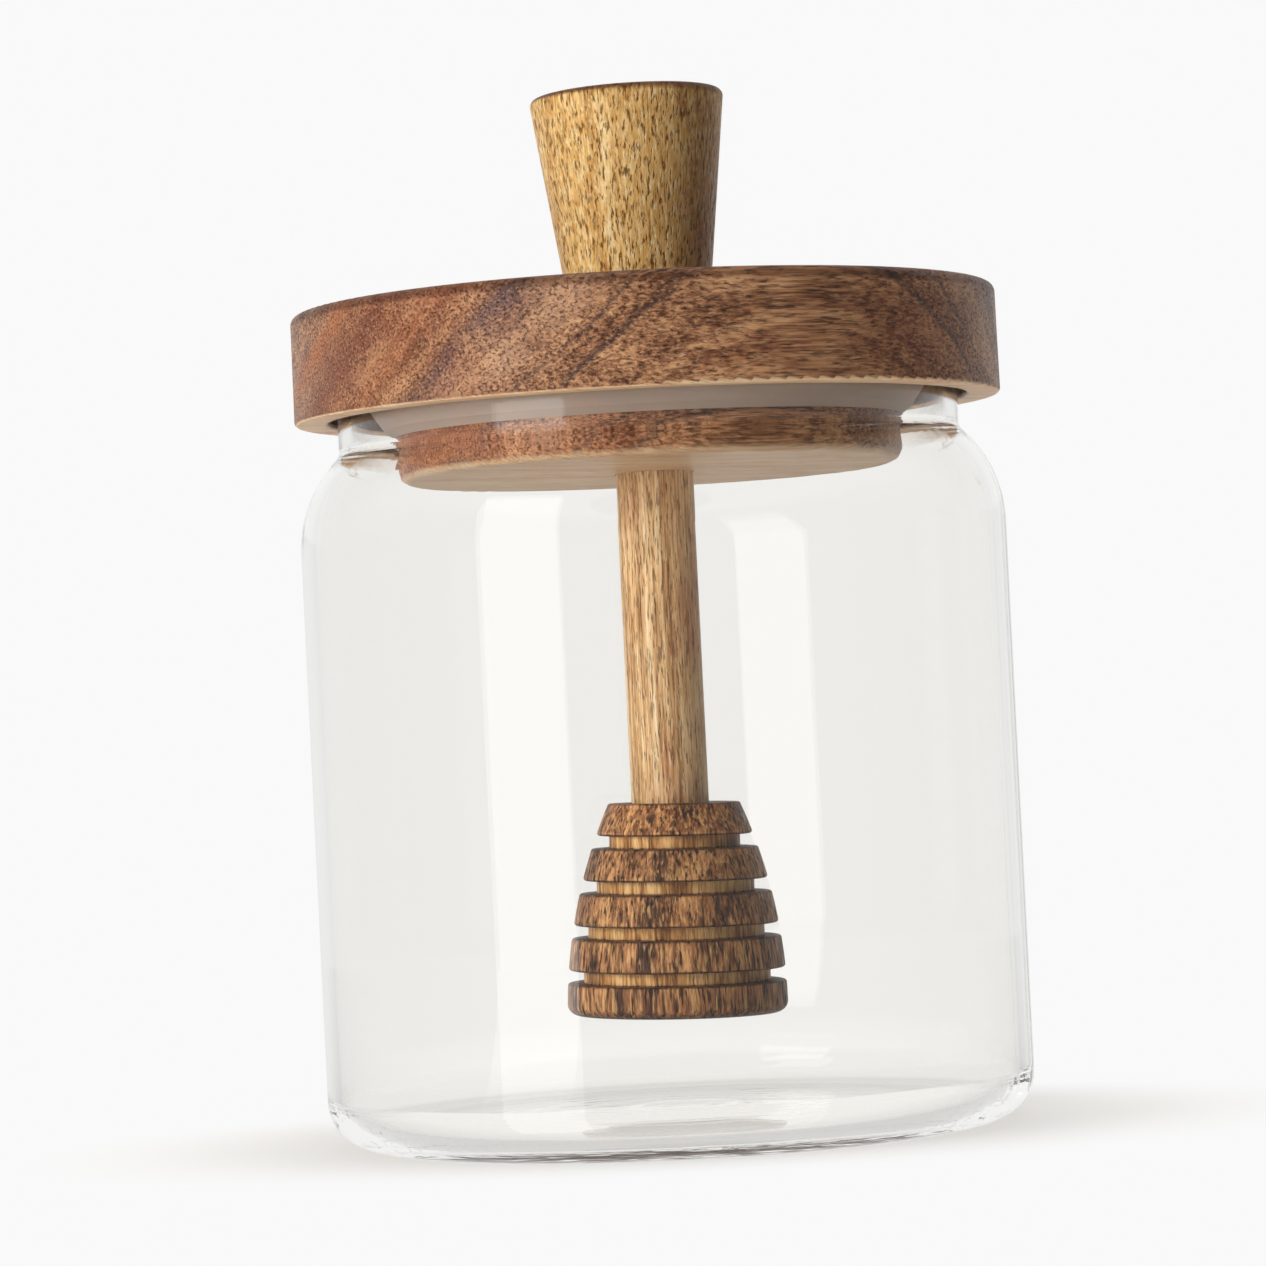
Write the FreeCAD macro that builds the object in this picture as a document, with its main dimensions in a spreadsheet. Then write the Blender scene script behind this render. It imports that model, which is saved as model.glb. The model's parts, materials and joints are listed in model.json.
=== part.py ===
import FreeCAD, Part
import math
import os
import re

import Sketcher

# A honey jar with a dipper lid. The jar is blown glass. Its turned wooden lid carries a silicone seal,
# a knob on top and a honey dipper that hangs inside. Millimetres, +Z up, the origin is the centre of
# the foot. Every piece is turned, so each is drawn as one half section and revolved, then drilled.

# Driving dimensions: alias, value, what it is.
SIZES = (
    ("jar_width", 100.0, "outside diameter of the glass body"),
    ("jar_height", 106.1, "foot to rim"),
    ("glass_wall", 1.9, "thickness of the glass wall"),
    ("base_glass", 2.6, "thickness of the glass at the edge of the floor"),
    ("base_round", 6.5, "outside radius between wall and foot"),
    ("floor_round", 4.6, "inside radius between wall and floor"),
    ("foot_width", 2.2, "width of the flat ring that the jar stands on"),
    ("push_up", 0.9, "rise of the base inside that ring"),
    ("shoulder_drop", 22.1, "rim down to where the wall starts to turn in"),
    ("shoulder_round", 18.0, "outside radius of the shoulder"),
    ("neck_inset", 6.0, "how far the neck stands in from the body on each side"),
    ("neck_blend", 2.0, "radius between shoulder and neck"),
    ("rim_round", 0.8, "fire-polished radius on the rim"),
    ("lid_height", 15.4, "thickness of the lid's disc"),
    ("lid_draft", 0.1, "how far the lid's side leans in at the top"),
    ("lid_top_round", 1.2, "radius on the lid's top edge"),
    ("lid_edge_round", 0.6, "radius on the lid's lower edges"),
    ("skirt_gap", 1.2, "gap from the neck to the ring that hangs round it"),
    ("skirt_width", 4.9, "width of that ring, out to the lid's side"),
    ("recess_depth", 5.3, "depth of the recess for the glass rim"),
    ("plug_gap", 6.1, "gap from the neck's bore to the plug below the seal"),
    ("core_step", 2.0, "how far the plug stands out from the core inside the seal"),
    ("plug_height", 5.8, "thickness of the plug"),
    ("plug_drop", 8.2, "lid's lower face down to the plug's lower face"),
    ("plug_round", 2.0, "radius on the plug's lower edge"),
    ("seal_flange", 1.2, "thickness of the seal between rim and lid"),
    ("seal_inset", 0.8, "gap from the seal's cone to the neck at the rim"),
    ("lip_overhang", 1.4, "how far the seal's lower edge stands out past the plug"),
    ("lip_rise", 1.0, "height of the bevel below that edge"),
    ("seal_play", 0.1, "gap between the seal and the lid's core"),
    ("knob_width", 27.8, "diameter of the knob at the top"),
    ("knob_foot", 20.2, "diameter of the knob where it meets the lid"),
    ("knob_height", 29.6, "height of the knob above the lid"),
    ("knob_round", 1.0, "radius on the knob's top edge"),
    ("knob_shift", -0.3, "how far the glued knob sits off the lid's axis"),
    ("knob_lean", -1.0, "lean of the glued knob, degrees about Y"),
    ("spigot_width", 10.0, "diameter of the knob's spigot"),
    ("spigot_length", 7.0, "length of the knob's spigot"),
    ("stick_width", 11.0, "diameter of the dipper's stick"),
    ("stick_bevel", 0.6, "bevel on the ends of the stick"),
    ("dipper_shift", 0.5, "how far the dipper hangs off the lid's axis"),
    ("dipper_clearance", 13.0, "crown of the floor up to the dipper's lower end"),
    ("plug_socket", 10.0, "depth of the stick's hole in the plug"),
    ("head_width", 31.3, "diameter of the dipper's head at its foot"),
    ("head_tip_width", 18.7, "diameter of the dipper's head at its top"),
    ("head_height", 29.8, "height of the dipper's head"),
    ("head_socket", 12.0, "depth of the stick's hole in the head"),
    ("head_shift", 0.5, "how far the head's top sits off the stick's axis"),
    ("head_lean", 1.7, "cant of the glued head, degrees about Y"),
    ("head_foot_round", 1.6, "radius on the head's lower edge"),
    ("ring_round", 0.4, "radius on the edges of the head's rings"),
    ("ring_count", 5, "rings on the head"),
    ("groove_width", 1.8, "height of each groove between two rings"),
    ("groove_depth", 2.2, "depth of each groove"),
    ("socket_play", 0.15, "radial gap round a glued spigot or stick"),
    ("socket_gap", 0.5, "gap past the end of a glued spigot or stick"),
)

doc = FreeCAD.newDocument("HoneyJar")
sheet = doc.addObject("Spreadsheet::Sheet", "Sizes")
for row, (alias, value, note) in enumerate(SIZES, start=1):
    sheet.set(f"A{row}", note)
    sheet.set(f"B{row}", str(value))
    sheet.setAlias(f"B{row}", alias)
doc.recompute()

ALIAS = re.compile(r"\b[a-z]+(?:_[a-z]+)+\b")
TOUCH = 1e-4

# Levels and radii that several pieces share, as expressions in the sheet's aliases.
JAR_RADIUS = "jar_width / 2"
NECK_RADIUS = f"({JAR_RADIUS} - neck_inset)"
NECK_BORE = f"({NECK_RADIUS} - glass_wall)"
SKIRT_BORE = f"({NECK_RADIUS} + skirt_gap)"
LID_RADIUS = f"({SKIRT_BORE} + skirt_width)"
PLUG_RADIUS = f"({NECK_BORE} - plug_gap)"
CORE_RADIUS = f"({PLUG_RADIUS} - core_step)"
FLOOR_CROWN = "(base_glass + push_up)"
SHOULDER_LEVEL = "(jar_height - shoulder_drop)"
LID_LEVEL = "(jar_height + seal_flange - recess_depth)"
LID_TOP = f"({LID_LEVEL} + lid_height)"
PLUG_LEVEL = f"({LID_LEVEL} - plug_drop)"
HEAD_LEVEL = f"({FLOOR_CROWN} + dipper_clearance + head_height)"


def linked(expression):
    """The expression with every alias pointed at the sheet."""
    return ALIAS.sub(lambda match: "Sizes." + match.group(), expression)


def number(expression):
    """The expression's present value."""
    return float(sheet.evalExpression(linked(expression)))


def new_body(label):
    body = doc.addObject("PartDesign::Body", label)
    body.Label = label
    return body


def new_sketch(body, name, role):
    """A sketch on one of the body's own origin planes."""
    sketch = body.newObject("Sketcher::SketchObject", name)
    plane = next(item for item in body.Origin.OriginFeatures if item.Role == role)
    sketch.AttachmentSupport = [(plane, "")]
    sketch.MapMode = "FlatFace"
    return sketch


def arc_between(start, end, radius):
    """The short arc from start to end. A positive radius turns left on the way, a negative one right."""
    chord = end - start
    middle = (start + end) * 0.5
    rise = math.sqrt(max(radius * radius - chord.Length ** 2 / 4, 0.0))
    left = FreeCAD.Vector(-chord.y, chord.x, 0).normalize()
    side = math.copysign(1.0, radius)
    centre = middle + left * (rise * side)
    out = (middle - centre).normalize() * abs(radius)
    return Part.Arc(start, centre + out, end)


def turned(label, corners):
    """A body turned about Z. corners go round the half section anticlockwise: each is (radius, height)
    or (radius, height, arc radius), where the arc runs from that corner to the next one."""
    body = new_body(label)
    sketch = new_sketch(body, label + "_section", "XZ_Plane")
    points = [FreeCAD.Vector(number(c[0]), number(c[1]), 0) for c in corners]
    reversed_arcs = set()
    for index, corner in enumerate(corners):
        start = points[index]
        end = points[(index + 1) % len(points)]
        if len(corner) == 2:
            sketch.addGeometry(Part.LineSegment(start, end))
            continue
        radius = number(corner[2])
        sketch.addGeometry(arc_between(start, end, radius))
        if radius < 0:
            reversed_arcs.add(index)

    def first(index):
        return 2 if index in reversed_arcs else 1

    for index, corner in enumerate(corners):
        after = (index + 1) % len(corners)
        last = 3 - first(index)
        sketch.addConstraint(Sketcher.Constraint("Coincident", index, last, after, first(after)))
        for kind, axis, expression in (("DistanceX", -2, corner[0]), ("DistanceY", -1, corner[1])):
            place = (index, first(index))
            if expression == "0":
                sketch.addConstraint(Sketcher.Constraint("PointOnObject", *place, axis))
            else:
                constraint = Sketcher.Constraint(kind, -1, 1, *place, number(expression))
                bind(sketch, constraint, expression)
        if len(corner) == 3:
            constraint = Sketcher.Constraint("Radius", index, abs(number(corner[2])))
            bind(sketch, constraint, corner[2].lstrip("-"))
    turn = body.newObject("PartDesign::Revolution", label + "_turn")
    turn.Profile = sketch
    turn.ReferenceAxis = (sketch, ["V_Axis"])
    turn.Angle = 360.0
    doc.recompute()
    return body


def bind(sketch, constraint, expression):
    index = sketch.addConstraint(constraint)
    sketch.setExpression(f"Constraints[{index}]", linked(expression))


def soften(body, name, radius, corners):
    """Rounds the circular edges of the body's last feature that pass through these section corners."""
    feature = body.Tip
    edges = set()
    for reach, level in corners:
        for index, edge in enumerate(feature.Shape.Edges, start=1):
            if edge.Degenerated or not hasattr(edge.Curve, "Radius"):
                continue
            circle = edge.Curve
            same_reach = abs(circle.Radius - number(reach)) < TOUCH
            if same_reach and abs(circle.Center.z - number(level)) < TOUCH:
                edges.add(f"Edge{index}")
    if len(edges) != len(corners):
        raise RuntimeError(f"{name}: found {len(edges)} of {len(corners)} edges")
    fillet = body.newObject("PartDesign::Fillet", name)
    fillet.Base = (feature, sorted(edges))
    fillet.setExpression("Radius", linked(radius))
    doc.recompute()


def bore(body, name, shift, level, width, depth, lean="0"):
    """Drills a round blind hole, centred on x = shift at this level. A positive depth goes up."""
    before = body.Shape.Volume
    sketch = new_sketch(body, name + "_circle", "XY_Plane")
    sketch.AttachmentOffset = FreeCAD.Placement(
        FreeCAD.Vector(0, 0, 0), FreeCAD.Rotation(FreeCAD.Vector(0, 1, 0), 1.0)
    )
    sketch.setExpression("AttachmentOffset.Base.x", linked(shift))
    sketch.setExpression("AttachmentOffset.Base.z", linked(level))
    sketch.setExpression("AttachmentOffset.Rotation.Angle", linked(lean))
    sketch.addGeometry(Part.Circle(FreeCAD.Vector(), FreeCAD.Vector(0, 0, 1), number(width) / 2))
    sketch.addConstraint(Sketcher.Constraint("Coincident", 0, 3, -1, 1))
    bind(sketch, Sketcher.Constraint("Diameter", 0, number(width)), width)
    pocket = body.newObject("PartDesign::Pocket", name)
    pocket.Profile = sketch
    pocket.Midplane = True
    pocket.setExpression("Length", linked(f"2 * ({depth})"))
    doc.recompute()
    if body.Shape.Volume > before - TOUCH:
        raise RuntimeError(f"{name} cuts nothing")


def place(body, shift, level, lean="0"):
    """Moves the body to x = shift and z = level and leans it about Y."""
    body.Placement = FreeCAD.Placement(
        FreeCAD.Vector(0, 0, 0), FreeCAD.Rotation(FreeCAD.Vector(0, 1, 0), 1.0)
    )
    body.setExpression("Placement.Base.x", linked(shift))
    body.setExpression("Placement.Base.z", linked(level))
    body.setExpression("Placement.Rotation.Angle", linked(lean))


def sagitta_radius(reach, rise):
    """Radius of a shallow dome of this half width and height."""
    return f"((({reach}) ^ 2 + ({rise}) ^ 2) / (2 * ({rise})))"


def make_jar():
    """The glass: even walls that follow the outside, a thicker domed floor and a short straight neck."""
    bore_radius = f"({JAR_RADIUS} - glass_wall)"
    foot_edge = f"({JAR_RADIUS} - base_round)"
    dome_edge = f"({foot_edge} - foot_width)"
    floor_edge = f"({bore_radius} - floor_round)"
    turn_centre = f"({JAR_RADIUS} - shoulder_round)"
    outer_rise = f"sqrt(shoulder_round ^ 2 - ({NECK_RADIUS} - {turn_centre}) ^ 2)"
    inner_rise = f"sqrt((shoulder_round - glass_wall) ^ 2 - ({NECK_BORE} - {turn_centre}) ^ 2)"
    neck_foot = (NECK_RADIUS, f"{SHOULDER_LEVEL} + {outer_rise}")
    neck_inside = (NECK_BORE, f"{SHOULDER_LEVEL} + {inner_rise}")
    body = turned(
        "jar",
        (
            ("0", "push_up", "-" + sagitta_radius(dome_edge, "push_up")),
            (dome_edge, "0"),
            (foot_edge, "0", "base_round"),
            (JAR_RADIUS, "base_round"),
            (JAR_RADIUS, SHOULDER_LEVEL, "shoulder_round"),
            neck_foot,
            (NECK_RADIUS, "jar_height"),
            (NECK_BORE, "jar_height"),
            neck_inside + ("-(shoulder_round - glass_wall)",),
            (bore_radius, SHOULDER_LEVEL),
            (bore_radius, "base_glass + floor_round", "-floor_round"),
            (floor_edge, "base_glass", sagitta_radius(floor_edge, "push_up")),
            ("0", FLOOR_CROWN),
        ),
    )
    soften(body, "neck_rounding", "neck_blend", (neck_foot, neck_inside))
    rim = ((NECK_RADIUS, "jar_height"), (NECK_BORE, "jar_height"))
    soften(body, "rim_rounding", "min(rim_round; 0.45 * glass_wall)", rim)
    return body


def make_lid():
    """The lid, turned in one piece: disc, hanging skirt, recess for the rim, core and plug. It is drilled
    from above for the knob and from below for the dipper. Its own zero is the skirt's lower face."""
    plug_top = "(plug_height - plug_drop)"
    top_edge = (f"{LID_RADIUS} - lid_draft", "lid_height")
    plug_edge = (PLUG_RADIUS, "-plug_drop")
    skirt_edges = ((LID_RADIUS, "0"), (SKIRT_BORE, "0"))
    body = turned(
        "lid",
        (
            ("0", "-plug_drop"),
            plug_edge,
            (PLUG_RADIUS, plug_top),
            (CORE_RADIUS, plug_top),
            (CORE_RADIUS, "recess_depth"),
            (SKIRT_BORE, "recess_depth"),
            (SKIRT_BORE, "0"),
            (LID_RADIUS, "0"),
            top_edge,
            ("0", "lid_height"),
        ),
    )
    soften(body, "plug_rounding", "plug_round", (plug_edge,))
    soften(body, "skirt_rounding", "lid_edge_round", skirt_edges)
    soften(body, "lid_top_rounding", "lid_top_round", (top_edge,))
    spigot_hole = "spigot_width + 2 * socket_play"
    stick_hole = "stick_width + 2 * socket_play"
    bore(body, "knob_hole", "knob_shift", "lid_height", spigot_hole, "spigot_length + socket_gap")
    bore(body, "stick_hole", "dipper_shift", "-plug_drop", stick_hole, "plug_socket")
    place(body, "0", LID_LEVEL)
    return body


def make_seal():
    """The silicone seal. Its flange lies between rim and lid, and its cone narrows down to the plug.
    Its own zero is the rim."""
    inside = f"({CORE_RADIUS} + seal_play)"
    plug_top = f"({PLUG_LEVEL} + plug_height - jar_height)"
    lip_level = f"({plug_top} + lip_rise)"
    body = turned(
        "seal",
        (
            (inside, plug_top),
            (PLUG_RADIUS, plug_top),
            (f"{PLUG_RADIUS} + lip_overhang", lip_level),
            (f"{NECK_BORE} - seal_inset", "0"),
            (NECK_RADIUS, "0"),
            (NECK_RADIUS, "seal_flange"),
            (inside, "seal_flange"),
        ),
    )
    place(body, "0", "jar_height")
    return body


def make_knob():
    """The knob, a cone that widens upward, on a spigot. It leans a little, so it is lifted by as much as
    its lower edge would sink. Its own zero is its foot."""
    top_edge = ("knob_width / 2", "knob_height")
    body = turned(
        "knob",
        (
            ("0", "-spigot_length"),
            ("spigot_width / 2", "-spigot_length"),
            ("spigot_width / 2", "0"),
            ("knob_foot / 2", "0"),
            top_edge,
            ("0", "knob_height"),
        ),
    )
    soften(body, "knob_rounding", "knob_round", (top_edge,))
    place(body, "knob_shift", f"{LID_TOP} + knob_foot / 2 * abs(sin(knob_lean))", "knob_lean")
    return body


def make_stick():
    """The dipper's stick, a dowel from the plug into the head. Its own zero is the plug's lower face."""
    radius = "stick_width / 2"
    inner = f"({radius} - stick_bevel)"
    top = "(plug_socket - socket_gap)"
    bottom = f"({HEAD_LEVEL} - {PLUG_LEVEL} - head_socket + socket_gap)"
    body = turned(
        "stick",
        (
            ("0", bottom),
            (inner, bottom),
            (radius, f"{bottom} + stick_bevel"),
            (radius, f"{top} - stick_bevel"),
            (inner, top),
            ("0", top),
        ),
    )
    place(body, "dipper_shift", PLUG_LEVEL)
    return body


def make_head():
    """The dipper's head: a beehive of rings. Its outline is one arc, upright at the foot, and the grooves
    are all as deep. It is canted, while its socket stays in line with the stick. Its own zero is its top."""
    count = int(sheet.get("ring_count"))
    narrowing = "((head_width - head_tip_width) / 2)"
    hive_radius = sagitta_radius("head_height", narrowing)
    ring_height = f"((head_height - {count - 1} * groove_width) / {count})"

    def hive(level):
        """Radius of the beehive's outline at this level."""
        drop = f"sqrt({hive_radius} ^ 2 - ({level} + head_height) ^ 2)"
        return f"(head_width / 2 - {hive_radius} + {drop})"

    corners = [("0", "-head_height")]
    edges = []
    for ring in reversed(range(count)):
        top = f"(-{ring} * ({ring_height} + groove_width))"
        bottom = f"({top} - {ring_height})"
        if ring == count - 1:
            bottom = "(-head_height)"
        corners.append((hive(bottom), bottom, hive_radius))
        corners.append((hive(top), top) if ring else (hive(top), "0"))
        edges.append((hive(top), top))
        if ring != count - 1:
            edges.append((hive(bottom), bottom))
        if ring:
            floor = f"({hive(f'({top} + groove_width / 2)')} - groove_depth)"
            corners.append((floor, top))
            corners.append((floor, f"({top} + groove_width)"))
    corners.append(("0", "0"))
    body = turned("dipper_head", corners)
    soften(body, "foot_rounding", "head_foot_round", ((hive("(-head_height)"), "-head_height"),))
    soften(body, "ring_rounding", "ring_round", edges)
    aside = "-head_shift / cos(head_lean)"
    stick_hole = "stick_width + 2 * socket_play"
    bore(body, "head_hole", aside, "0", stick_hole, "head_socket", "-head_lean")
    place(body, "dipper_shift + head_shift", HEAD_LEVEL, "head_lean")
    return body


pieces = [make_jar(), make_lid(), make_seal(), make_knob(), make_stick(), make_head()]
doc.recompute()

for item in doc.Objects:
    if "Invalid" in item.State or "Error" in item.State:
        raise RuntimeError(f"{item.Label} failed: {item.State}")
for piece in pieces:
    if piece.Shape.isNull() or not piece.Shape.isValid() or len(piece.Shape.Solids) != 1:
        raise RuntimeError(f"{piece.Label} isn't one valid solid")

os.makedirs("parts", exist_ok=True)
for piece in pieces:
    piece.Shape.exportStep(os.path.join("parts", piece.Label + ".step"))
    volume = piece.Shape.Volume / 1000
    print(f"{piece.Label}: {volume:.2f} cm3, {piece.Shape.BoundBox}")
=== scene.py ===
import json
import math

import bpy
from mathutils import Matrix, Vector

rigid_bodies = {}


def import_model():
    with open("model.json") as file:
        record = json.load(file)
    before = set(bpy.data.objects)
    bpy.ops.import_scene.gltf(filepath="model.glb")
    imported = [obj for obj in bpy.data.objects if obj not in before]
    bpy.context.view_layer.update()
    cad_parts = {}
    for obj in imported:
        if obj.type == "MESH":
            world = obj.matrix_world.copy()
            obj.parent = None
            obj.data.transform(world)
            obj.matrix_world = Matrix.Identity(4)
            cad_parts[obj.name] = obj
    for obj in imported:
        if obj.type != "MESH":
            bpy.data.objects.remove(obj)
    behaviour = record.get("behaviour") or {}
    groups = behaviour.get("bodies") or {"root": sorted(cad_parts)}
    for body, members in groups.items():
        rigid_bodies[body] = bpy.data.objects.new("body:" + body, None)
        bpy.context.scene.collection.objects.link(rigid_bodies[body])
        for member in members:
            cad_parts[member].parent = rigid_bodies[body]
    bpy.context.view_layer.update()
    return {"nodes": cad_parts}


# Blender starts with a cube, a lamp and a camera, which don't belong to the jar.
for thing in list(bpy.data.objects):
    bpy.data.objects.remove(thing, do_unlink=True)

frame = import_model()

# Lengths are metres and angles degrees. The jar stands on z = 0 and the camera looks along +Y. A bearing
# is the direction from the jar, counted from the camera's side to the right. Brightness 1 shows as white.
# Where a value is a list of pairs, they are the stops of a ramp.

# The view.
FOCAL_LENGTH = 126.9  # mm
SENSOR_WIDTH = 36.0  # mm
CAMERA_DISTANCE = 0.634
CAMERA_HEIGHT = 0.0595
CAMERA_ROLL = -2.85
AIM_X = -0.0036
AIM_Z = 0.0706
CLIP_START = 0.01
CLIP_END = 20.0

# How far light is followed. The thick base guides it through many inner reflections.
LIGHT_BOUNCES = 128
CLEAR_LAYERS = 32

# The room, as the camera sees it and as fill light. ROOM_THROUGH is what shows through the glass, by how
# steep the ray is. ROOM_MIRRORED is what shows when mirrored once, from 0 in front of the jar to 1 behind
# it. ROOM_ABOVE is the same for rays that go up and away from the camera, by how steep they are.
BACKGROUND = 0.948
AMBIENT = 0.065
ROOM_THROUGH = ((0.30, 0.938), (0.80, 0.66))
ROOM_MIRRORED = ((0.5, 0.27), (0.75, 0.50), (0.95, 0.80))
ROOM_ABOVE = ((0.055, 0.0), (0.075, 0.96))

# The window that the glass mirrors.
WINDOW_BEARING = -43.5
WINDOW_DISTANCE = 0.75
WINDOW_WIDTH = 0.36
WINDOW_LOW = -0.50
WINDOW_HIGH = 0.50
WINDOW_BRIGHTNESS = 1.55

# The lamps that light the jar: name, bearing, distance, width, lower end, upper end, radiance.
LAMPS = (
    ("key_light", -50.0, 0.75, 0.30, 0.02, 0.42, 14.3),
    ("side_light", 60.0, 0.90, 0.40, 0.02, 0.80, 0.05),
    ("rim_light", 140.0, 0.80, 0.24, 0.02, 0.70, 0.7),
    ("back_light", 180.0, 0.80, 0.40, 0.02, 0.80, 3.0),
)
TOP_LIGHT_WIDTH = 0.45
TOP_LIGHT_HEIGHT = 0.8
TOP_LIGHT_RADIANCE = 7.2

# The floor. It glows like the background, but less where it keeps the jar's shadow, which is an ellipse.
FLOOR_RADIUS = 0.5
FLOOR_LEVEL = -0.0001
FLOOR_CORNERS = 96
FLOOR_GLOW = 0.48
SHADOW_START = 0.052
SHADOW_END = 0.098
SHADOW_SQUEEZE = (1.0, 1.55, 1.0)

# The floor through the glass: how much of it glows, how bright it is by its distance from the middle as a
# share of FOOT_REACH, which paints a ring of shadow around the foot, how bright it is when mirrored once,
# and how that ends further out.
FLOOR_THROUGH = 0.9
FOOT_REACH = 0.1
PAINTED_FOOT_SHADOW = ((0.38, 1.0), (0.44, 0.84), (0.50, 0.80), (0.54, 1.0))
FLOOR_MIRRORED = 0.72
FLOOR_NEAR = ((0.60, 1.0), (0.95, 0.0))

# The glass. Its surface waves a little, and the inside of the base has faint rings from the mould.
GLASS_COLOUR = (1.0, 0.995, 0.976)
GLASS_SHADOW = (0.95, 0.95, 0.94)
GLASS_IOR = 1.47
GLASS_WAVE = (25.0, 25.0, 12.0)
GLASS_BUMP = 0.08
GLASS_BUMP_DEPTH = 0.001
BASE_RINGS_TOP = 0.005
BASE_RINGS_FADE = ((0.038, 1.0), (0.0425, 0.0))
BASE_RINGS_SPACING = 0.006
BASE_RINGS_SWAY = ((40.0, 40.0, 40.0), 0.006)
BASE_RINGS_RELIEF = 1.1

# What all the woods share. A noise is given by its detail and roughness, a sway by its scale and size.
FINE_SWAY = ((60.0, 300.0, 300.0), 0.0009)
RING_NOISE = (4.0, 0.62)
FIBRE_NOISE = (5.0, 0.68)
PATCH_NOISE = (3.0, 0.6)
PATCH_SHIFT = (2.0, 0.0, 6.0)
BLUSH_NOISE = (2.0, 0.5)
BAND_FADE_SCALE = (30.0, 160.0, 160.0)
BAND_FADE_SHIFT = (3.0, 1.0, 4.0)
BAND_FADE_NOISE = (4.0, 0.65)
BAND_FADE = ((0.34, 0.25), (0.54, 1.0))
PORE_NOISE = (2.0, 0.55)
PORE_SHIFT = (0.0, 5.0, 9.0)
GLINT_SHIFT = (4.0, 0.0, 2.0)
GLINT_SOFTNESS = 0.04
PORE_ROUGHNESS = 0.25
FIBRE_RELIEF = 0.5
WOOD_BUMP = 0.7
END_GRAIN_FROM = 0.22
END_GRAIN_TO = 0.60
END_GRAIN_TINT = (0.40, 0.30, 0.26)
RIM_TINT = (0.34, 0.26, 0.22)
# Painted light on faces that look down, by how far they look down: a stand-in for light bounced up from the
# floor.
DOWNWARD_PAINTED_LIGHT = ((0.50, 0.0), (0.85, 0.92))

# The dipper head's grooves, as shares of the pitch: how soft their ends are, how wide the painted shade at
# the edges of the rings, where rings and grooves meet, and where the first ring's lighter top fades. The
# painted shade comes and goes with the wood's patches.
GROOVE_SOFTNESS = 0.03
# How far the grooves take a golden colour, which is partly painted light making up for the shade the rings
# cast into them.
GROOVE_GOLD_AND_LIGHT = 0.75
RING_EDGE_WIDTH = 0.05
RING_EDGE_SHADE = 0.8
RING_EDGE_PATCHES = ((0.36, 0.3), (0.52, 1.0))
FIRST_RING = ((0.4, 1.0), (1.0, 0.0))
FIRST_RING_TINT = (1.5, 1.5, 1.5)


# ---------------------------------------------------------------- node helpers

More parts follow.
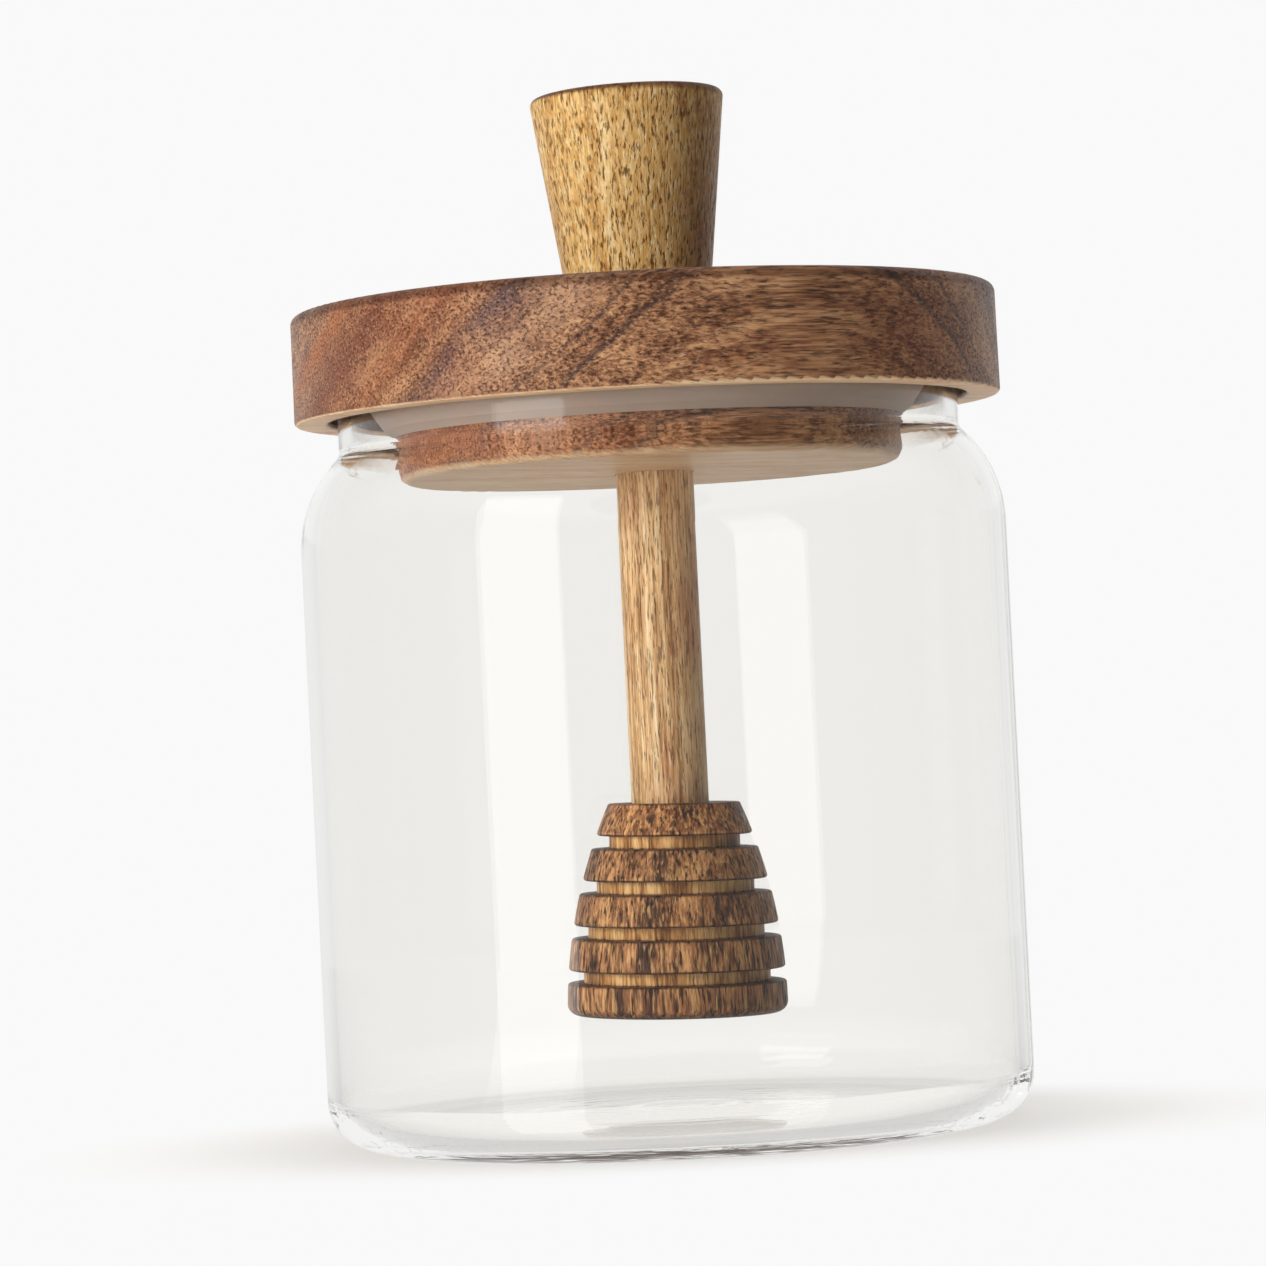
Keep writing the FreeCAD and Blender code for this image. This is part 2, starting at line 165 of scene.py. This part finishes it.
class Nodes:
    """A node tree with short ways to add and join nodes."""

    def __init__(self, tree):
        self.tree = tree
        tree.nodes.clear()

    def add(self, kind, settings=None, **inputs):
        node = self.tree.nodes.new(kind)
        for name, value in (settings or {}).items():
            setattr(node, name, value)
        for name, value in inputs.items():
            self.feed(node, name.replace("_", " "), value)
        return node

    def feed(self, node, name, value):
        """Sets or joins the input with this name or number. A colour may leave out its alpha."""
        socket = node.inputs[name]
        if isinstance(value, bpy.types.NodeSocket):
            self.tree.links.new(value, socket)
        elif socket.type == "RGBA" and len(value) == 3:
            socket.default_value = (*value, 1.0)
        else:
            socket.default_value = value

    def feed_all(self, node, values):
        """Feeds the inputs in turn and skips those without a value."""
        for index, value in enumerate(values):
            if value is not None:
                self.feed(node, index, value)
        return node

    def math(self, operation, *values, clamp=False):
        node = self.add("ShaderNodeMath", {"operation": operation, "use_clamp": clamp})
        return self.feed_all(node, values).outputs[0]

    def vector(self, operation, *values):
        node = self.add("ShaderNodeVectorMath", {"operation": operation})
        return self.feed_all(node, values).outputs[0]

    def measure(self, operation, *vectors):
        """A number worked out from vectors, such as a length."""
        node = self.add("ShaderNodeVectorMath", {"operation": operation})
        return self.feed_all(node, vectors).outputs["Value"]

    def hypotenuse(self, first, second):
        """The root of the sum of two squares."""
        squares = self.math("ADD", self.math("POWER", first, 2.0), self.math("POWER", second, 2.0))
        return self.math("SQRT", squares)

    def coordinates(self, kind):
        return self.add("ShaderNodeTexCoord").outputs[kind]

    def parts(self, vector):
        return self.add("ShaderNodeSeparateXYZ", Vector=vector).outputs

    def ramp(self, factor, stops, interpolation="LINEAR"):
        node = self.add("ShaderNodeValToRGB", Fac=factor)
        ramp = node.color_ramp
        ramp.interpolation = interpolation
        while len(ramp.elements) < len(stops):
            ramp.elements.new(0.5)
        for element, (place, colour) in zip(ramp.elements, stops):
            element.position = place
            element.color = (*grey(colour), 1.0) if isinstance(colour, float) else (*colour, 1.0)
        return node.outputs["Color"]

    def mix(self, factor, first, second, blend="MIX"):
        """Mixes two colours. The node has its colours at inputs 6 and 7 and its mixed colour at output 2."""
        node = self.add("ShaderNodeMix", {"data_type": "RGBA", "blend_type": blend})
        self.feed(node, 0, factor)
        self.feed(node, 6, first)
        self.feed(node, 7, second)
        return node.outputs[2]

    def tinted(self, factor, colour, tint):
        """The colour, multiplied by the tint where the factor is 1."""
        return self.mix(factor, colour, self.mix(1.0, colour, tint, "MULTIPLY"))

    def noise(self, vector, detail, roughness):
        node = self.add("ShaderNodeTexNoise", Vector=vector, Scale=1.0, Detail=detail, Roughness=roughness)
        return node.outputs["Fac"]

    def line_noise(self, along, detail, roughness):
        """Noise along one line."""
        line = {"noise_dimensions": "1D"}
        node = self.add("ShaderNodeTexNoise", line, W=along, Scale=1.0, Detail=detail, Roughness=roughness)
        return node.outputs["Fac"]

    def varied(self, base, noise, strength):
        """The base, moved up and down by the noise, whose middle is 0.5."""
        return self.math("MULTIPLY_ADD", self.math("SUBTRACT", noise, 0.5), strength, base)

    def warped(self, vector, scale, amount):
        """The vector, pushed about by up to half this amount."""
        push = self.add("ShaderNodeTexNoise", Vector=self.stretched(vector, scale), Scale=1.0, Detail=2.0)
        centred = self.vector("SUBTRACT", push.outputs["Color"], (0.5, 0.5, 0.5))
        return self.vector("MULTIPLY_ADD", centred, (amount, amount, amount), vector)

    def turned(self, vector, turn):
        """The vector in axes turned by these angles."""
        texture = {"vector_type": "TEXTURE"}
        return self.add("ShaderNodeMapping", texture, Vector=vector, Rotation=turn).outputs[0]

    def stretched(self, vector, scale, shift=(0.0, 0.0, 0.0)):
        """The vector scaled along each axis, then moved."""
        return self.add("ShaderNodeMapping", Vector=vector, Scale=scale, Location=shift).outputs[0]

    def end(self, shader, kind="ShaderNodeOutputMaterial"):
        self.add(kind, Surface=shader)

    def blend(self, factor, first, second):
        """Mixes two shaders."""
        node = self.add("ShaderNodeMixShader")
        return self.feed_all(node, (factor, first, second)).outputs[0]


def grey(level):
    return (level, level, level)


def srgb(red, green, blue):
    """A colour as written on screen, 0 to 255, in linear light."""
    def one(value):
        value /= 255.0
        return value / 12.92 if value <= 0.04045 else ((value + 0.055) / 1.055) ** 2.4
    return (one(red), one(green), one(blue))


def new_material(name):
    material = bpy.data.materials.new(name)
    material.use_nodes = True
    return material, Nodes(material.node_tree)


def dress(node, material):
    """Gives a CAD node this material on every face."""
    for slot in node.material_slots:
        slot.material = material


# ---------------------------------------------------------------- wood

def add_blush(n, colour, bent, blush):
    """Clouds of another colour."""
    cloud = n.noise(n.stretched(bent, blush["scale"], blush["shift"]), *BLUSH_NOISE)
    share = n.ramp(cloud, ((blush["from"], 0.0), (blush["to"], blush["strength"])))
    return n.mix(share, colour, blush["colour"])


def add_bands(n, colour, log, reach, bands):
    """Single growth rings that stand out: distance from the pith, half width, strength and colour."""
    fade = n.noise(n.stretched(log, BAND_FADE_SCALE, BAND_FADE_SHIFT), *BAND_FADE_NOISE)
    fade = n.ramp(fade, BAND_FADE)
    for distance, half_width, strength, paint in bands:
        line = n.math("DIVIDE", n.math("ABSOLUTE", n.math("SUBTRACT", reach, distance)), half_width)
        share = n.math("MULTIPLY", n.ramp(line, ((0.0, strength), (1.0, 0.0)), "EASE"), fade)
        colour = n.mix(share, colour, paint)
    return colour


def add_pores(n, colour, log, pores):
    """Dark pores, and pale specks that are partly the wood's pale flecks and partly painted glints of light.
    Returns the colour and where the pores are.
    """
    pore = n.noise(n.stretched(log, pores["scale"], PORE_SHIFT), *PORE_NOISE)
    pits = n.ramp(pore, ((pores["from"], 0.0), (pores["to"], 1.0)))
    colour = n.mix(n.math("MULTIPLY", pits, pores["strength"]), colour, pores["colour"])
    glint = n.noise(n.stretched(log, pores["scale"], GLINT_SHIFT), *PORE_NOISE)
    specks = n.ramp(glint, ((pores["from"], 0.0), (pores["to"] + GLINT_SOFTNESS, 1.0)))
    return n.mix(n.math("MULTIPLY", specks, pores["glint"]), colour, pores["pale"]), pits


def add_end_grain(n, colour, facing, turn, strength):
    """Darker wood where a face cuts across the fibres."""
    end = n.math("ABSOLUTE", n.parts(n.turned(facing, turn))["X"])
    end = n.ramp(end, ((END_GRAIN_FROM, 0.0), (END_GRAIN_TO, strength)))
    return n.tinted(end, colour, END_GRAIN_TINT)


def add_rim(n, colour, height, rim):
    """Darker wood above a level, where a top edge is rounded."""
    top_darkening = n.math("DIVIDE", n.math("SUBTRACT", height, rim["level"]), rim["depth"])
    top_darkening = n.ramp(top_darkening, ((0.0, 0.0), (1.0, rim["strength"])))
    return n.tinted(top_darkening, colour, RIM_TINT)


def add_painted_underside_light(n, colour, height, facing, tone, inside):
    """Paler wood below a level, where the plug hangs in the jar, and palest on faces that look down. Both
    are painted light, standing in for light that the bright floor bounces up and for the floor's reflection
    in them.
    """
    low = n.math("LESS_THAN", height, inside["level"])
    colour = n.tinted(low, colour, inside["tint"])
    down = n.ramp(n.math("MULTIPLY", n.parts(facing)["Z"], -1.0), DOWNWARD_PAINTED_LIGHT)
    return n.mix(down, colour, n.ramp(tone, inside["face"]))


def add_grooves(n, colour, place, tone, patches, grooves):
    """Golden grooves between rings, partly painted light against the shade in the grooves, and painted shade
    along the edges where rings and grooves meet. The steps are counted down from the head's top.
    """
    below = n.vector("SUBTRACT", place, grooves["top"])
    level = n.measure("DOT_PRODUCT", below, grooves["axis"])
    steps = n.math("DIVIDE", level, -grooves["pitch"])
    step = n.math("FRACT", steps)
    ring = grooves["ring"] / grooves["pitch"]
    groove = n.ramp(
        step,
        (
            (ring, 0.0),
            (ring + GROOVE_SOFTNESS, GROOVE_GOLD_AND_LIGHT),
            (1.0 - GROOVE_SOFTNESS, GROOVE_GOLD_AND_LIGHT),
            (1.0, 0.0),
        ),
    )
    colour = n.mix(groove, colour, n.ramp(tone, grooves["tones"]))
    colour = n.tinted(n.ramp(steps, FIRST_RING), colour, FIRST_RING_TINT)
    # Painted shade along the edges where rings and grooves meet.
    edge = n.ramp(
        step,
        (
            (0.0, RING_EDGE_SHADE),
            (RING_EDGE_WIDTH, 0.0),
            (ring - RING_EDGE_WIDTH, 0.0),
            (ring, RING_EDGE_SHADE),
            (ring + GROOVE_SOFTNESS, 0.0),
        ),
    )
    edge = n.math("MULTIPLY", edge, n.ramp(patches, RING_EDGE_PATCHES))
    return n.mix(edge, colour, grooves["edge"])


def wood(name, turn, pith, growth, tones, fibre, pores, gloss, relief, bands=(), blush=None, end_grain=0.0,
         rim=None, inside=None, grooves=None):
    """Oiled wood cut from a solid log. turn sets the grain's direction: the log runs along the turned X.
    pith is the log's middle in its own Y and Z. growth is the rings, and tones are the colours from the
    darkest to the lightest."""
    material, n = new_material(name)
    place = n.coordinates("Object")
    facing = n.coordinates("Normal")
    height = n.parts(place)["Z"]
    log = n.turned(place, turn)
    bent = n.warped(n.warped(log, growth["sway_scale"], growth["sway"]), *FINE_SWAY)
    part = n.parts(bent)
    reach = n.hypotenuse(n.math("SUBTRACT", part["Y"], pith[0]), n.math("SUBTRACT", part["Z"], pith[1]))

    rings = n.line_noise(n.math("DIVIDE", reach, growth["spacing"]), *RING_NOISE)
    fibres = n.noise(n.stretched(log, fibre["scale"]), *FIBRE_NOISE)
    patches = n.noise(n.stretched(bent, fibre["patches"], PATCH_SHIFT), *PATCH_NOISE)
    tone = n.varied(0.5, rings, growth["strength"])
    tone = n.varied(tone, fibres, fibre["strength"])
    tone = n.varied(tone, patches, fibre["patchiness"])
    colour = n.ramp(tone, tones)
    if blush:
        colour = add_blush(n, colour, bent, blush)
    if bands:
        colour = add_bands(n, colour, log, reach, bands)
    colour, pits = add_pores(n, colour, log, pores)
    if end_grain:
        colour = add_end_grain(n, colour, facing, turn, end_grain)
    if rim:
        colour = add_rim(n, colour, height, rim)
    if inside:
        colour = add_painted_underside_light(n, colour, height, facing, tone, inside)
    if grooves:
        colour = add_grooves(n, colour, place, tone, patches, grooves)

    texture = n.math("SUBTRACT", n.math("MULTIPLY", fibres, FIBRE_RELIEF), pits)
    bump = n.add("ShaderNodeBump", Strength=WOOD_BUMP, Distance=relief, Height=texture)
    rough = n.math("ADD", gloss, n.math("MULTIPLY", pits, PORE_ROUGHNESS))
    shader = n.add("ShaderNodeBsdfPrincipled", Base_Color=colour, Roughness=rough, Normal=bump.outputs[0])
    n.end(shader.outputs[0])
    return material


def make_lid_wood():
    return wood(
        "lid_wood",
        turn=(0.0, 0.0, math.radians(25.0)),
        pith=(0.019, 0.150),
        growth={"spacing": 0.0022, "strength": 0.45, "sway": 0.004, "sway_scale": (20.0, 60.0, 60.0)},
        tones=(
            (0.26, srgb(78, 46, 30)),
            (0.42, srgb(130, 85, 57)),
            (0.55, srgb(167, 119, 84)),
            (0.76, srgb(208, 160, 116)),
        ),
        fibre={
            "scale": (90.0, 2300.0, 2300.0),
            "strength": 1.4,
            "patches": (30.0, 210.0, 210.0),
            "patchiness": 0.75,
        },
        pores={
            "scale": (240.0, 2800.0, 2800.0),
            "from": 0.54,
            "to": 0.66,
            "strength": 0.7,
            "colour": srgb(58, 34, 26),
            "glint": 0.45,
            "pale": srgb(214, 164, 122),
        },
        gloss=0.40,
        relief=0.0002,
        bands=(
            (0.0520, 0.0180, 0.35, srgb(116, 72, 54)),
            (0.0450, 0.0120, 0.50, srgb(112, 70, 54)),
            (0.0440, 0.0028, 0.50, srgb(182, 104, 54)),
            (0.0500, 0.0032, 0.50, srgb(106, 50, 36)),
            (0.0565, 0.0030, 0.25, srgb(176, 104, 66)),
            (0.0632, 0.0024, 0.75, srgb(74, 54, 60)),
            (0.0652, 0.0030, 0.35, srgb(112, 86, 84)),
            (0.0685, 0.0036, 0.50, srgb(190, 150, 120)),
            (0.0720, 0.0006, 0.60, srgb(64, 42, 44)),
            (0.0747, 0.0006, 0.75, srgb(48, 38, 40)),
        ),
        blush={
            "scale": (14.0, 40.0, 40.0),
            "shift": (1.0, 2.0, 0.0),
            "from": 0.42,
            "to": 0.62,
            "strength": 0.40,
            "colour": srgb(146, 74, 42),
        },
        rim={"level": 0.1156, "depth": 0.0006, "strength": 0.75},
        # Painted light: the plug below the lid is made paler, and palest on faces that look down, in place
        # of light bounced up from the floor.
        inside={
            "level": 0.1012,
            "tint": (1.35, 1.26, 1.25),
            "face": (
                (0.26, srgb(240, 184, 138)),
                (0.50, srgb(255, 214, 168)),
                (0.76, srgb(255, 232, 194)),
            ),
        },
    )


def make_knob_wood():
    return wood(
        "knob_wood",
        turn=(0.0, math.radians(90.0), math.radians(4.0)),
        pith=(0.03, -0.12),
        growth={"spacing": 0.004, "strength": 0.7, "sway": 0.006, "sway_scale": (20.0, 40.0, 40.0)},
        tones=(
            (0.20, srgb(156, 98, 40)),
            (0.46, srgb(219, 169, 95)),
            (0.60, srgb(238, 194, 125)),
            (0.80, srgb(255, 230, 176)),
        ),
        fibre={
            "scale": (200.0, 2300.0, 2300.0),
            "strength": 1.1,
            "patches": (90.0, 300.0, 300.0),
            "patchiness": 0.5,
        },
        pores={
            "scale": (620.0, 2600.0, 2600.0),
            "from": 0.53,
            "to": 0.67,
            "strength": 0.85,
            "colour": srgb(104, 56, 20),
            "glint": 0.65,
            "pale": srgb(255, 236, 184),
        },
        gloss=0.42,
        relief=0.0003,
        end_grain=1.0,
        rim={"level": 0.1460, "depth": 0.0005, "strength": 0.9},
    )


def make_stick_wood():
    return wood(
        "stick_wood",
        turn=(0.0, math.radians(90.0), 0.0),
        pith=(0.02, -0.06),
        growth={"spacing": 0.0012, "strength": 0.8, "sway": 0.002, "sway_scale": (12.0, 60.0, 60.0)},
        tones=(
            (0.22, srgb(140, 92, 50)),
            (0.46, srgb(212, 164, 110)),
            (0.58, srgb(238, 198, 146)),
            (0.78, srgb(255, 232, 192)),
        ),
        fibre={
            "scale": (60.0, 3200.0, 3200.0),
            "strength": 1.15,
            "patches": (60.0, 420.0, 420.0),
            "patchiness": 0.45,
        },
        pores={
            "scale": (420.0, 3600.0, 3600.0),
            "from": 0.55,
            "to": 0.66,
            "strength": 0.65,
            "colour": srgb(98, 56, 28),
            "glint": 0.5,
            "pale": srgb(255, 232, 190),
        },
        gloss=0.4,
        relief=0.0002,
        blush={
            "scale": (50.0, 300.0, 300.0),
            "shift": (1.0, 7.0, 3.0),
            "from": 0.56,
            "to": 0.68,
            "strength": 0.45,
            "colour": srgb(178, 96, 56),
        },
    )


def make_head_wood():
    lean = math.radians(1.7)
    # The pores' dark colour, also the colour of the painted shade at the ring edges.
    pore_and_edge_shade_colour = srgb(40, 22, 12)
    return wood(
        "head_wood",
        turn=(0.0, math.radians(90.0), 0.0),
        pith=(0.05, -0.05),
        growth={"spacing": 0.003, "strength": 0.8, "sway": 0.006, "sway_scale": (25.0, 60.0, 60.0)},
        tones=(
            (0.22, srgb(66, 37, 21)),
            (0.42, srgb(128, 81, 46)),
            (0.58, srgb(178, 121, 76)),
            (0.78, srgb(224, 170, 114)),
        ),
        fibre={
            "scale": (130.0, 2000.0, 2000.0),
            "strength": 1.4,
            "patches": (120.0, 360.0, 360.0),
            "patchiness": 0.8,
        },
        pores={
            "scale": (260.0, 2300.0, 2300.0),
            "from": 0.53,
            "to": 0.63,
            "strength": 0.9,
            "colour": pore_and_edge_shade_colour,
            "glint": 0.55,
            "pale": srgb(240, 190, 124),
        },
        gloss=0.42,
        relief=0.0003,
        end_grain=0.7,
        grooves={
            "top": (0.001, 0.0, 0.0464),
            "axis": (math.sin(lean), 0.0, math.cos(lean)),
            "pitch": 0.00632,
            "ring": 0.00452,
            "tones": (
                (0.30, srgb(150, 96, 44)),
                (0.50, srgb(222, 162, 92)),
                (0.70, srgb(250, 206, 140)),
            ),
            "edge": pore_and_edge_shade_colour,
        },
    )


# ---------------------------------------------------------------- glass and silicone

def make_glass():
    """Clear glass that lets shadow rays pass, so that the dipper inside is lit."""
    material, n = new_material("clear_glass")
    place = n.coordinates("Object")
    wave = n.noise(n.stretched(place, GLASS_WAVE), 1.0, 0.4)
    part = n.parts(n.warped(place, *BASE_RINGS_SWAY))
    reach = n.hypotenuse(part["X"], part["Y"])
    rings = n.line_noise(n.math("DIVIDE", reach, BASE_RINGS_SPACING), 1.0, 0.4)
    base = n.math("LESS_THAN", n.parts(place)["Z"], BASE_RINGS_TOP)
    base = n.math("MULTIPLY", base, n.ramp(reach, BASE_RINGS_FADE))
    relief = n.math("MULTIPLY_ADD", n.math("MULTIPLY", base, rings), BASE_RINGS_RELIEF, wave)
    bump = n.add("ShaderNodeBump", Strength=GLASS_BUMP, Distance=GLASS_BUMP_DEPTH, Height=relief)
    glass = n.add(
        "ShaderNodeBsdfPrincipled",
        Base_Color=GLASS_COLOUR,
        Roughness=0.0,
        IOR=GLASS_IOR,
        Transmission_Weight=1.0,
        Normal=bump.outputs[0],
    )
    clear = n.add("ShaderNodeBsdfTransparent", Color=GLASS_SHADOW)
    shadow = n.add("ShaderNodeLightPath").outputs["Is Shadow Ray"]
    n.end(n.blend(shadow, glass.outputs[0], clear.outputs[0]))
    return material


def make_silicone():
    material, n = new_material("seal_silicone")
    cloud = n.noise(n.stretched(n.coordinates("Object"), (60.0, 60.0, 200.0)), 3.0, 0.5)
    bump = n.add("ShaderNodeBump", Strength=0.1, Distance=0.0002, Height=cloud)
    shader = n.add(
        "ShaderNodeBsdfPrincipled",
        Base_Color=n.ramp(cloud, ((0.3, srgb(210, 187, 172)), (0.7, srgb(220, 197, 182)))),
        Roughness=0.55,
        Subsurface_Weight=0.3,
        Subsurface_Scale=0.002,
        Normal=bump.outputs[0],
    )
    n.end(shader.outputs[0])
    return material


# ---------------------------------------------------------------- stage, light and camera

def add_object(name, data):
    thing = bpy.data.objects.new(name, data)
    bpy.context.scene.collection.objects.link(thing)
    return thing


def light_paths(n):
    """The Light Path outputs, then two shares: the rays that met no matt surface on their way, and the
    rays that were mirrored exactly once."""
    path = n.add("ShaderNodeLightPath").outputs
    direct = n.math("LESS_THAN", path["Diffuse Depth"], 0.5)
    mirrored = n.math("COMPARE", path["Glossy Depth"], 1.0, 0.5)
    return path, direct, mirrored


def painted_window_patch(n, place, distance):
    """A painted patch of the window's light on the floor, so that the window's mirror image runs down to the
    base.
    """
    bearing = n.math("ARCTAN2", place["X"], n.math("MULTIPLY", place["Y"], -1.0))
    off_axis = n.math("ABSOLUTE", n.math("SUBTRACT", bearing, math.radians(WINDOW_BEARING)))
    lit = n.math("LESS_THAN", off_axis, math.atan(WINDOW_WIDTH / 2 / WINDOW_DISTANCE))
    return n.math("MULTIPLY", lit, n.ramp(distance, ((SHADOW_END, 0.0), (2 * SHADOW_END, 1.0))))


def make_floor_material():
    """Matt where it keeps the jar's shadow, and as bright as the background where it is seen further out or
    through the glass, but for a painted ring of shadow around the foot and a painted patch of the window's
    light, which show only through the glass."""
    material, n = new_material("floor")
    spot = n.coordinates("Object")
    place = n.parts(spot)
    distance = n.measure("LENGTH", spot)
    share = n.math("DIVIDE", distance, FOOT_REACH)
    path, direct, mirrored = light_paths(n)
    through = n.math("MULTIPLY", path["Is Transmission Ray"], direct)

    spread = n.measure("LENGTH", n.vector("MULTIPLY", spot, SHADOW_SQUEEZE))
    spread = n.math("DIVIDE", n.math("SUBTRACT", spread, SHADOW_START), SHADOW_END - SHADOW_START)
    fade = n.ramp(spread, ((0.0, FLOOR_GLOW), (1.0, 1.0)), "EASE")
    glowing = n.math("MAXIMUM", fade, n.math("MULTIPLY", through, FLOOR_THROUGH))
    seen = n.math("MAXIMUM", path["Is Camera Ray"], through)

    behind = n.math("MULTIPLY_ADD", n.math("DIVIDE", place["Y"], distance), 0.5, 0.5)
    mirror = n.mix(n.ramp(share, FLOOR_NEAR), n.ramp(behind, ROOM_MIRRORED), grey(FLOOR_MIRRORED))
    # Seen straight through the glass, the floor's glow is dimmed in a painted ring of shadow around the
    # foot.
    level = n.mix(through, grey(1.0), n.mix(mirrored, n.ramp(share, PAINTED_FOOT_SHADOW), mirror))
    # Seen once mirrored through the glass, the floor there glows as bright as the window: a painted
    # reflection of the window.
    lit = n.math("MULTIPLY", painted_window_patch(n, place, distance), n.math("MULTIPLY", through, mirrored))
    level = n.mix(lit, level, grey(WINDOW_BRIGHTNESS / BACKGROUND))

    matte = n.add("ShaderNodeBsdfDiffuse", Color=srgb(252, 247, 238))
    glow = n.add("ShaderNodeEmission", Color=grey(BACKGROUND), Strength=level)
    n.end(n.blend(n.math("MULTIPLY", seen, glowing), matte.outputs[0], glow.outputs[0]))
    return material


def make_floor():
    """A pale round floor that fades into the background away from the jar."""
    turns = [2 * math.pi * corner / FLOOR_CORNERS for corner in range(FLOOR_CORNERS)]
    corners = [(FLOOR_RADIUS * math.cos(turn), FLOOR_RADIUS * math.sin(turn), FLOOR_LEVEL) for turn in turns]
    mesh = bpy.data.meshes.new("floor")
    mesh.from_pydata(corners, [], [tuple(range(FLOOR_CORNERS))])
    mesh.materials.append(make_floor_material())
    floor = add_object("floor", mesh)
    floor.visible_glossy = False


def make_world():
    """A pale room: bright where it is seen and mirrored, softer where it lights the jar."""
    world = bpy.data.worlds.new("studio")
    world.use_nodes = True
    bpy.context.scene.world = world
    n = Nodes(world.node_tree)
    path, direct, mirrored = light_paths(n)
    seen = n.math("MAXIMUM", path["Is Camera Ray"], path["Is Transmission Ray"])
    seen = n.math("MULTIPLY", n.math("MULTIPLY", seen, direct), n.math("SUBTRACT", 1.0, mirrored))

    heading = n.parts(n.coordinates("Generated"))
    steep = n.ramp(n.math("ABSOLUTE", heading["Z"]), ROOM_THROUGH)
    through = n.mix(path["Is Camera Ray"], steep, grey(BACKGROUND))
    above = n.math("MULTIPLY", n.ramp(heading["Z"], ROOM_ABOVE), heading["Y"], clamp=True)
    behind = n.math("MULTIPLY_ADD", heading["Y"], 0.5, 0.5)
    mirror = n.math("MAXIMUM", n.ramp(behind, ROOM_MIRRORED), above)
    colour = n.mix(n.math("MULTIPLY", mirrored, direct), grey(AMBIENT), mirror)
    colour = n.mix(seen, colour, through)
    sky = n.add("ShaderNodeBackground", Color=colour, Strength=1.0)
    n.end(sky.outputs[0], "ShaderNodeOutputWorld")


def set_use(lamp, mirrored):
    """A mirrored lamp only shows in the glass. Any other only lights the jar and the floor."""
    lamp.visible_camera = False
    lamp.visible_diffuse = not mirrored
    lamp.visible_glossy = mirrored
    lamp.visible_transmission = mirrored


def make_softbox(name, bearing, distance, width, low, high, radiance, mirrored=False):
    """An upright soft lamp that faces the jar's axis."""
    light = bpy.data.lights.new(name, "AREA")
    light.shape = "RECTANGLE"
    light.size = width
    light.size_y = high - low
    light.energy = radiance * math.pi * width * (high - low)
    lamp = add_object(name, light)
    turn = math.radians(bearing)
    lamp.location = (distance * math.sin(turn), -distance * math.cos(turn), (low + high) / 2)
    aim = Vector((0.0, 0.0, lamp.location.z)) - lamp.location
    lamp.rotation_euler = aim.to_track_quat("-Z", "Y").to_euler()
    set_use(lamp, mirrored)


def make_top_light():
    """A round soft lamp that looks straight down on the lid."""
    light = bpy.data.lights.new("top_light", "AREA")
    light.shape = "DISK"
    light.size = TOP_LIGHT_WIDTH
    light.energy = TOP_LIGHT_RADIANCE * math.pi * math.pi * (TOP_LIGHT_WIDTH / 2) ** 2
    lamp = add_object("top_light", light)
    lamp.location = (0.0, 0.0, TOP_LIGHT_HEIGHT)
    set_use(lamp, mirrored=False)


def make_lights():
    make_softbox(
        "window",
        WINDOW_BEARING,
        WINDOW_DISTANCE,
        WINDOW_WIDTH,
        WINDOW_LOW,
        WINDOW_HIGH,
        WINDOW_BRIGHTNESS,
        mirrored=True,
    )
    for lamp in LAMPS:
        make_softbox(*lamp)
    make_top_light()


def make_camera():
    camera = add_object("camera", bpy.data.cameras.new("camera"))
    camera.data.lens = FOCAL_LENGTH
    camera.data.sensor_width = SENSOR_WIDTH
    camera.data.clip_start = CLIP_START
    camera.data.clip_end = CLIP_END
    place = Vector((AIM_X, -CAMERA_DISTANCE, CAMERA_HEIGHT))
    aim = Vector((AIM_X, 0.0, AIM_Z)) - place
    turn = aim.to_track_quat("-Z", "Y").to_matrix().to_4x4()
    roll = Matrix.Rotation(math.radians(CAMERA_ROLL), 4, "Z")
    camera.matrix_world = Matrix.Translation(place) @ turn @ roll
    bpy.context.scene.camera = camera


MATERIALS = {
    "jar": make_glass,
    "seal": make_silicone,
    "lid": make_lid_wood,
    "knob": make_knob_wood,
    "stick": make_stick_wood,
    "dipper_head": make_head_wood,
}
for name, make_material in MATERIALS.items():
    dress(frame["nodes"][name], make_material())

make_floor()
make_world()
make_lights()
make_camera()
bpy.context.scene.view_settings.view_transform = "Standard"
bpy.context.scene.cycles.max_bounces = LIGHT_BOUNCES
bpy.context.scene.cycles.glossy_bounces = LIGHT_BOUNCES
bpy.context.scene.cycles.transmission_bounces = LIGHT_BOUNCES
bpy.context.scene.cycles.transparent_max_bounces = CLEAR_LAYERS
